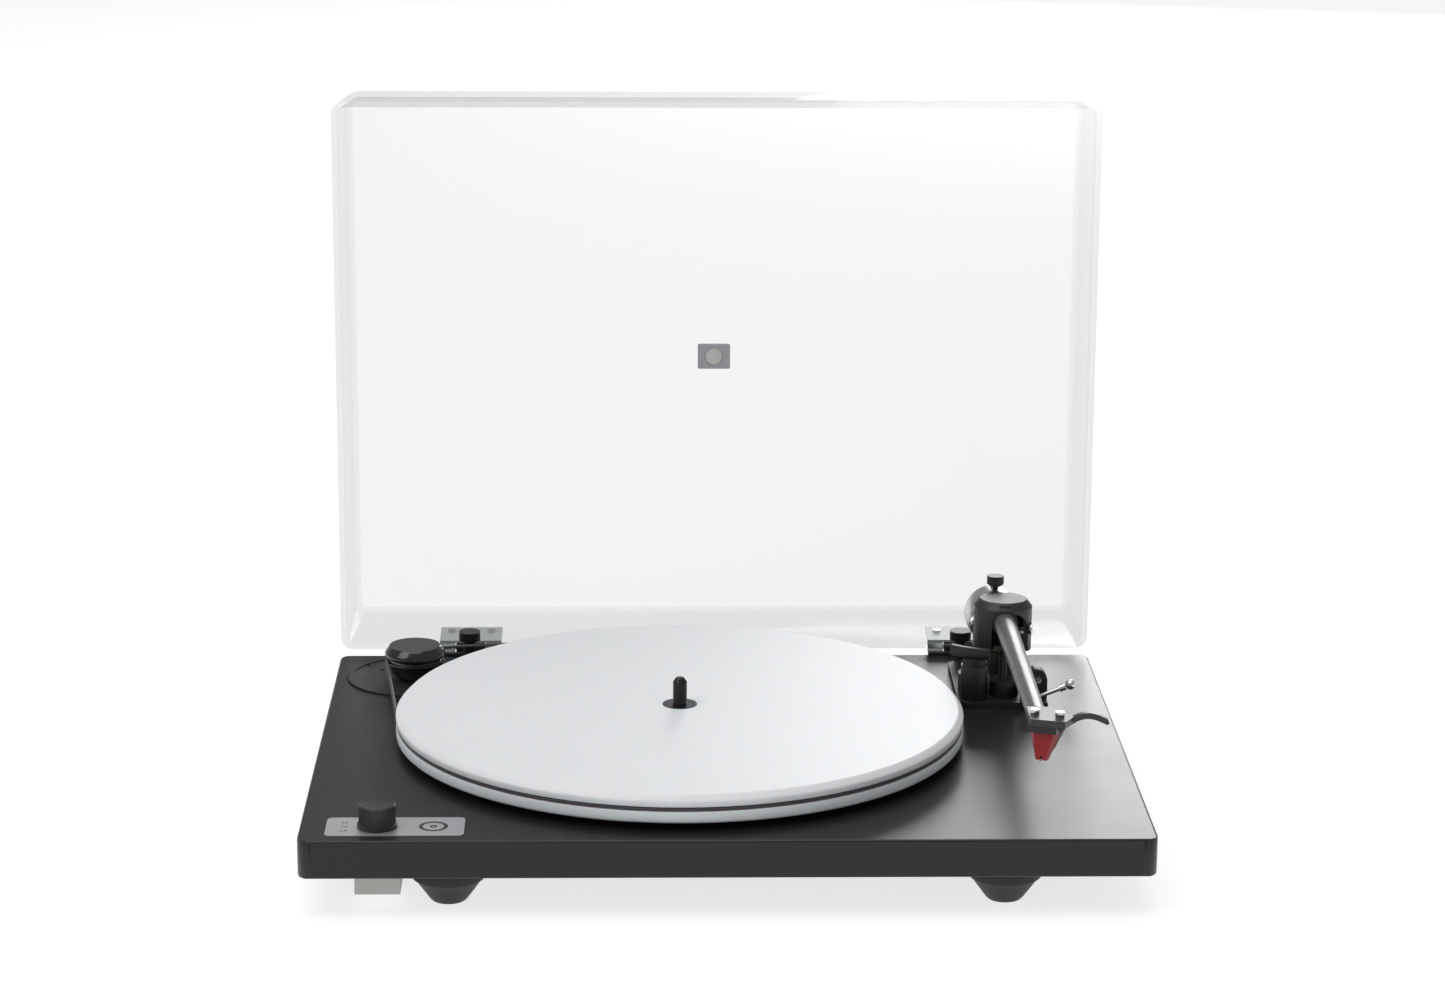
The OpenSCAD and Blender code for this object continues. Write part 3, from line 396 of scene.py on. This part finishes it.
# %% [markdown]
# ### Clear acrylic
# The cover is a thin clear sheet with little to see in it. Faced squarely it hides hardly anything,
# and seen along its skin it turns a soft grey. A Layer Weight node finds how far the sheet is
# turned, and that sets how much of it shows. A faint haze stands for dust and wiping marks.

# %% Clear acrylic
def clear_acrylic(square_on, edge_on):
    material = finish("clear_acrylic", (0.25, 0.26, 0.26), 0.12, grain, 300, 0.004, 0.02, 0.02,
                      0.004)
    tree = material.node_tree
    shader = tree.nodes["Principled BSDF"]
    weight = tree.nodes.new("ShaderNodeLayerWeight")
    weight.inputs["Blend"].default_value = 0.35
    cover_range = tree.nodes.new("ShaderNodeMapRange")
    cover_range.inputs["To Min"].default_value = square_on
    cover_range.inputs["To Max"].default_value = edge_on
    tree.links.new(weight.outputs["Facing"], cover_range.inputs["Value"])
    tree.links.new(cover_range.outputs["Result"], shader.inputs["Alpha"])
    shader.inputs["IOR"].default_value = 1.49
    return material


SQUARE_ON, EDGE_ON = 0.11, 0.32
finishes["clear_acrylic"] = clear_acrylic(SQUARE_ON, EDGE_ON)
print("finishes:", len(finishes))

# %% [markdown]
# ### Give each ready-made part its finish
# The parts' own meshes stay as they are. A weld and a narrow bevel soften their sharp corners as
# moulding and machining do, because a perfectly sharp edge never catches the light.

# %% Soft edges on the ready-made parts
SOFT_EDGES = {
    "arm_housing": 0.35, "headshell": 0.15, "cartridge_body": 0.25, "stylus_unit": 0.3,
    "counterweight": 0.3, "lift_column": 0.3, "lift_bar": 0.3, "rest_post": 0.3,
    "lever_bracket": 0.4, "arm_base": 0.4, "arm_pillar": 0.3, "badge_plate": 0.15,
    "motor_plate": 0.2, "pulley": 0.25, "hinge_base_leaves": 0.2, "hinge_cover_leaves": 0.2,
    "thumbscrew_left": 0.15, "thumbscrew_right": 0.15, "weight_screw": 0.12,
    "switch_housing": 0.6, "feet": 0.5, "socket_panel": 0.3, "cover_pad": 0.3,
    "headshell_screws": 0.12, "pivot_screws": 0.15, "hub": 0.2, "spindle": 0.4,
    "platter": 0.3, "signal_sockets": 0.2, "power_socket": 0.2, "arm_base_screws": 0.15,
    "bearing_housing": 0.2, "motor_can": 0.5, "plinth": 0.25,
}


def soften(node, width):
    weld = node.modifiers.new("weld", "WELD")
    weld.merge_threshold = 0.002 * MM
    bevel = node.modifiers.new("bevel", "BEVEL")
    bevel.width = width * MM
    bevel.segments = 2
    bevel.limit_method = "ANGLE"
    bevel.angle_limit = math.radians(35)
    bevel.harden_normals = False


for name, node in nodes.items():
    node.data.materials.clear()
    node.data.materials.append(finishes[slots[name]])
    if name in SOFT_EDGES:
        soften(node, SOFT_EDGES[name])
print("softened:", len(SOFT_EDGES))

# %% [markdown]
# ## The clear cover
# The real cover is one moulded sheet: a box with no bottom, slightly narrower at its top, with
# rounded corners. A cube at the cover's own size gives the outside. Its top is drawn in for the
# draft, its edges are beveled, the open face is deleted and a Solidify gives the wall. It stands
# open, so its top faces the back and its open rim faces the plinth.

# %% Cover sizes, from the working part
cover_low, cover_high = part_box("dust_cover")
COVER_WALL = 3.2 * MM
COVER_CORNER = 7 * MM
COVER_EDGE = 5 * MM
DRAFT = math.tan(math.radians(3.4))
print("cover:", [round((high - low) / MM, 1) for low, high in zip(cover_low, cover_high)])


# %% Selecting by place or direction
def edit(piece, mode):
    nothing_selected()
    piece.select_set(True)
    bpy.context.view_layer.objects.active = piece
    bpy.ops.object.mode_set(mode="EDIT")
    bpy.ops.mesh.select_mode(type=mode)
    bpy.ops.mesh.select_all(action="DESELECT")
    bpy.ops.object.mode_set(mode="OBJECT")


def pick(piece, mode, wanted):
    """Selects the vertices, edges or faces whose middle and direction pass a test."""
    edit(piece, mode)
    mesh = piece.data
    if mode == "FACE":
        for face in mesh.polygons:
            face.select = wanted(face.center, face.normal)
    elif mode == "EDGE":
        for edge in mesh.edges:
            one, two = (mesh.vertices[index].co for index in edge.vertices)
            edge.select = wanted((one + two) / 2, (two - one).normalized())
    else:
        for vertex in mesh.vertices:
            vertex.select = wanted(vertex.co, vertex.normal)
    bpy.ops.object.mode_set(mode="EDIT")


def done():
    bpy.ops.object.mode_set(mode="OBJECT")


# %% Block out the cover and draw in its top
def add_block(name, low, high):
    nothing_selected()
    middle = [(a + b) / 2 for a, b in zip(low, high)]
    bpy.ops.mesh.primitive_cube_add(size=1, location=middle)
    bpy.context.object.scale = [b - a for a, b in zip(low, high)]
    block = named(name)
    settle(block)
    return block


cover = add_block("cover_shell", cover_low, cover_high)
cover_middle = (Vector(cover_low) + Vector(cover_high)) / 2
drawn_in = (cover_high[1] - cover_low[1]) * DRAFT
width, height = cover_high[0] - cover_low[0], cover_high[2] - cover_low[2]
pick(cover, "FACE", lambda middle, normal: normal.y > 0.9)
bpy.ops.transform.resize(value=(1 - 2 * drawn_in / width, 1, 1 - 2 * drawn_in / height),
                         center_override=(cover_middle.x, cover_high[1], cover_middle.z))
done()
print("drawn in by", round(drawn_in / MM, 2), "mm")

# %% Round the four corners, then the edge of the top
pick(cover, "EDGE", lambda middle, along: abs(along.y) > 0.9)
bpy.ops.mesh.bevel(offset=COVER_CORNER, offset_type="OFFSET", segments=8)
done()
pick(cover, "EDGE", lambda middle, along: abs(along.y) < 0.1 and middle.y > cover_high[1] - 1e-5)
bpy.ops.mesh.bevel(offset=COVER_EDGE, offset_type="OFFSET", segments=6)
done()
pick(cover, "FACE", lambda middle, normal: normal.y < -0.9)
bpy.ops.mesh.delete(type="FACE")
done()
print("cover faces:", len(cover.data.polygons))

# %% Give it a wall and cut the two hinge notches
wall = cover.modifiers.new("wall", "SOLIDIFY")
wall.thickness = COVER_WALL
wall.offset = -1
wall.use_even_offset = True
apply_modifiers(cover)

HINGE_HALF, NOTCH_HALF = 17 * MM, 18 * MM
leaves_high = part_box("hinge_base_leaves")[1]
for side in (-1, 1):
    middle_x = side * (leaves_high[0] - HINGE_HALF)
    notch_low = (middle_x - NOTCH_HALF, cover_low[1] - MM, cover_low[2] - MM)
    notch_high = (middle_x + NOTCH_HALF, leaves_high[1] + MM, cover_low[2] + COVER_WALL + MM)
    notch = add_block("notch", notch_low, notch_high)
    cut = cover.modifiers.new("notch", "BOOLEAN")
    cut.operation = "DIFFERENCE"
    cut.solver = "EXACT"
    cut.object = notch
    apply_modifiers(cover)
    bpy.data.objects.remove(notch)
rim = cover.modifiers.new("rim", "BEVEL")
rim.width = 0.35 * MM
rim.segments = 2
rim.limit_method = "ANGLE"
rim.angle_limit = math.radians(50)
apply_modifiers(cover)
nothing_selected()
cover.select_set(True)
bpy.context.view_layer.objects.active = cover
bpy.ops.object.shade_smooth_by_angle(angle=math.radians(35))
cover.data.materials.append(finishes["clear_acrylic"])
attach(cover, "cover")
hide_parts("dust_cover")
print("cover walls:", round(COVER_WALL / MM, 1), "mm, faces:", len(cover.data.polygons))

# %% [markdown]
# ## The disc in the cover's pad
# The pad inside the cover has a paler round disc let into its face.

# %% Pad disc
def add_disc(name, place, radius, thickness):
    """A disc facing along Y, with its edges softened."""
    nothing_selected()
    bpy.ops.mesh.primitive_cylinder_add(vertices=48, radius=radius, depth=thickness,
                                        location=place, rotation=(math.pi / 2, 0, 0))
    disc = named(name)
    settle(disc)
    edge = disc.modifiers.new("edge", "BEVEL")
    edge.width = 0.2 * MM
    edge.segments = 2
    edge.limit_method = "ANGLE"
    apply_modifiers(disc)
    nothing_selected()
    disc.select_set(True)
    bpy.context.view_layer.objects.active = disc
    bpy.ops.object.shade_smooth_by_angle(angle=math.radians(30))
    return disc


pad_low, pad_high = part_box("cover_pad")
DISC_RADIUS, DISC_THICKNESS, DISC_DEPTH = 4.8 * MM, 0.7 * MM, 0.45 * MM
disc_at = ((pad_low[0] + pad_high[0]) / 2, pad_low[1] + DISC_DEPTH, (pad_low[2] + pad_high[2]) / 2)
pad_disc = add_disc("pad_disc", disc_at, DISC_RADIUS, DISC_THICKNESS)
pad_disc.data.materials.append(finishes["pale_plastic"])
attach(pad_disc, "cover")
print("pad disc at", [round(v / MM, 1) for v in disc_at])

# %% [markdown]
# ## The belt
# The working belt is square in section. The real one is round, so a curve follows the same loop:
# an arc round the pulley, an arc round the platter and the two straight runs that touch both. A
# curve's own round bevel gives the section, and it is made a mesh at the end.

# %% The loop of the belt
def middle_of(name):
    low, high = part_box(name)
    return Vector([(a + b) / 2 for a, b in zip(low, high)])


belt_low, belt_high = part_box("belt")
BELT_RADIUS = (belt_high[2] - belt_low[2]) / 2
belt_z = (belt_high[2] + belt_low[2]) / 2
platter_at, pulley_at = middle_of("platter"), middle_of("pulley")
platter_run = belt_high[0] - BELT_RADIUS - platter_at.x
pulley_run = pulley_at.x - belt_low[0] - BELT_RADIUS
between = (platter_at - pulley_at).xy
run_angle = math.atan2(between.y, between.x)
tilt = math.asin((platter_run - pulley_run) / between.length)


def arc(middle, radius, start, sweep, steps):
    return [(middle.x + radius * math.cos(start + sweep * i / steps),
             middle.y + radius * math.sin(start + sweep * i / steps), belt_z)
            for i in range(steps + 1)]


around_pulley = math.pi - 2 * tilt
loop = arc(pulley_at, pulley_run, run_angle + math.pi / 2 + tilt, around_pulley, 16)
loop += arc(platter_at, platter_run, run_angle - math.pi / 2 - tilt,
            2 * math.pi - around_pulley, 120)
print("belt radii:", round(platter_run / MM, 1), round(pulley_run / MM, 1))


# %% Sweep the round section along it
def add_belt(points, radius):
    nothing_selected()
    bpy.ops.curve.primitive_bezier_circle_add()
    belt = named("belt_round")
    belt.data.splines.clear()
    spline = belt.data.splines.new("POLY")
    spline.points.add(len(points) - 1)
    for point, place in zip(spline.points, points):
        point.co = (*place, 1)
    spline.use_cyclic_u = True
    belt.data.dimensions = "3D"
    belt.data.bevel_depth = radius
    belt.data.bevel_resolution = 4
    bpy.ops.object.convert(target="MESH")
    belt = bpy.context.object
    settle(belt)
    bpy.ops.object.shade_smooth()
    return belt


belt = add_belt(loop, BELT_RADIUS)
belt.data.materials.clear()
belt.data.materials.append(finishes["belt_rubber"])
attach(belt, "base")
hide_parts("belt")
print("belt faces:", len(belt.data.polygons))

# %% [markdown]
# ## The knob
# A diamond knurl is two sets of crossing grooves. A ring of narrow faces is subdivided into rows,
# and every other point of its checkerboard is pushed in, which leaves small pyramids. A chamfer
# and a shallow dish finish the top.

# %% The knurled knob
knob_low, knob_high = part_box("knob")
knob_at = (Vector(knob_low) + Vector(knob_high)) / 2
SKIRT_RADIUS = (knob_high[0] - knob_low[0]) / 2
SKIRT_WIDTH = 0.75 * MM
KNOB_RADIUS = SKIRT_RADIUS - SKIRT_WIDTH
KNURL_COLUMNS, KNURL_ROWS, KNURL_DEPTH = 96, 12, 0.28 * MM


def add_knurl_ring(low, high, radius):
    """A tube of faces cut into rows for a diamond knurl, open at both ends."""
    nothing_selected()
    bpy.ops.mesh.primitive_cylinder_add(vertices=KNURL_COLUMNS, radius=radius, depth=high - low,
                                        end_fill_type="NOTHING",
                                        location=(knob_at.x, knob_at.y, (low + high) / 2))
    ring = named("knob_knurled")
    settle(ring)
    for row in range(1, KNURL_ROWS):
        edit(ring, "FACE")
        bpy.ops.object.mode_set(mode="EDIT")
        bpy.ops.mesh.select_all(action="SELECT")
        bpy.ops.mesh.bisect(plane_co=(0, 0, low + (high - low) * row / KNURL_ROWS),
                            plane_no=(0, 0, 1))
        done()
    return ring


def checker(place, low, step):
    turn = math.atan2(place.y - knob_at.y, place.x - knob_at.x)
    column = round(turn / (2 * math.pi) * KNURL_COLUMNS)
    row = round((place.z - low) / step)
    return (column + row) % 2 == 0 and 0 < row < KNURL_ROWS


SKIRT_RISE, TOP_BAND = 1.5 * MM, 0.9 * MM
knurl_low, knurl_high = knob_low[2] + SKIRT_RISE, knob_high[2] - TOP_BAND
knob = add_knurl_ring(knurl_low, knurl_high, KNOB_RADIUS)
step = (knurl_high - knurl_low) / KNURL_ROWS
pick(knob, "VERT", lambda place, normal: checker(place, knurl_low, step))
shrink = 1 - KNURL_DEPTH / KNOB_RADIUS
bpy.ops.transform.resize(value=(shrink, shrink, 1), center_override=knob_at)
done()
print("knurl points:", len(knob.data.vertices))


# %% Close the knob: a skirt below, a chamfer and a dish above
def extrude_ring(piece, height, rise, scale):
    """Extrudes the open ring at one height upwards or downwards and resizes it."""
    pick(piece, "VERT", lambda place, normal: abs(place.z - height) < 1e-6)
    bpy.ops.mesh.select_mode(type="EDGE")
    bpy.ops.mesh.extrude_edges_move(TRANSFORM_OT_translate={"value": (0, 0, rise)})
    bpy.ops.transform.resize(value=(scale, scale, 1), center_override=knob_at)
    done()
    return height + rise


top = extrude_ring(knob, knurl_high, 0.35 * MM, 1.0)
top = extrude_ring(knob, top, 0.55 * MM, 1 - 0.6 * MM / KNOB_RADIUS)
top = extrude_ring(knob, top, -0.15 * MM, 0.9)
pick(knob, "VERT", lambda place, normal: abs(place.z - top) < 1e-6)
bpy.ops.mesh.edge_face_add()
done()
low = extrude_ring(knob, knurl_low, -0.3 * MM, SKIRT_RADIUS / KNOB_RADIUS)
low = extrude_ring(knob, low, knob_low[2] - low, 1.0)
pick(knob, "VERT", lambda place, normal: abs(place.z - low) < 1e-6)
bpy.ops.mesh.edge_face_add()
bpy.ops.mesh.select_all(action="SELECT")
bpy.ops.mesh.normals_make_consistent(inside=False)
done()
nothing_selected()
knob.select_set(True)
bpy.context.view_layer.objects.active = knob
bpy.ops.object.shade_smooth_by_angle(angle=math.radians(20))
knob.data.materials.append(finishes["satin_black"])
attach(knob, "switch")
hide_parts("knob")
print("knob height:", round((top - low) / MM, 2), "mm")

# %% [markdown]
# ## Marks on the badge plate
# Dark printed marks say which way the knob points: off, and the two speeds. On the right is a plain
# round mark. Text is a curve, so it is made a mesh before its place is applied.

# %% Printed marks
plate_low, plate_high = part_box("badge_plate")
PRINT_RISE = 0.03 * MM
ink = finish("mark_ink", (0.03, 0.03, 0.032), 0.5, grain, 3000, 0.2, 0.05, 0.1, 0.005)


def add_text(name, words, place, size):
    nothing_selected()
    bpy.ops.object.text_add(location=place)
    text = named(name)
    text.data.body = words
    text.data.size = size
    text.data.extrude = PRINT_RISE / 2
    bpy.ops.object.convert(target="MESH")
    return bpy.context.object


def add_ring_mark(name, place, outer, inner):
    nothing_selected()
    bpy.ops.mesh.primitive_circle_add(vertices=48, radius=outer, location=place,
                                      fill_type="NGON")
    mark = named(name)
    settle(mark)
    pick(mark, "FACE", lambda middle, normal: True)
    bpy.ops.mesh.inset(thickness=outer - inner)
    bpy.ops.mesh.delete(type="FACE")
    done()
    solid = mark.modifiers.new("thickness", "SOLIDIFY")
    solid.thickness = PRINT_RISE
    apply_modifiers(mark)
    return mark


plate_top = plate_high[2]
MARK_IN, MARK_SIZE = 7 * MM, 3.6 * MM
MARK_RISES = (("45", 17.6), ("33", 11.8), ("off", 6.0))
mark_x = plate_low[0] + MARK_IN
marks = [add_text("mark_" + word, word, (mark_x, plate_low[1] + rise * MM, plate_top), MARK_SIZE)
         for word, rise in MARK_RISES]
RING_IN, RING_OUTER, RING_INNER = 15 * MM, 7 * MM, 5.2 * MM
DOT_OUTER, DOT_INNER = 1.8 * MM, 0.6 * MM
ring_at = (plate_high[0] - RING_IN, (plate_low[1] + plate_high[1]) / 2, plate_top + PRINT_RISE)
marks.append(add_ring_mark("mark_ring", ring_at, RING_OUTER, RING_INNER))
marks.append(add_ring_mark("mark_dot", ring_at, DOT_OUTER, DOT_INNER))
for mark in marks:
    settle(mark)
    mark.data.materials.clear()
    mark.data.materials.append(ink)
    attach(mark, "base")
print("marks:", [mark.name for mark in marks])
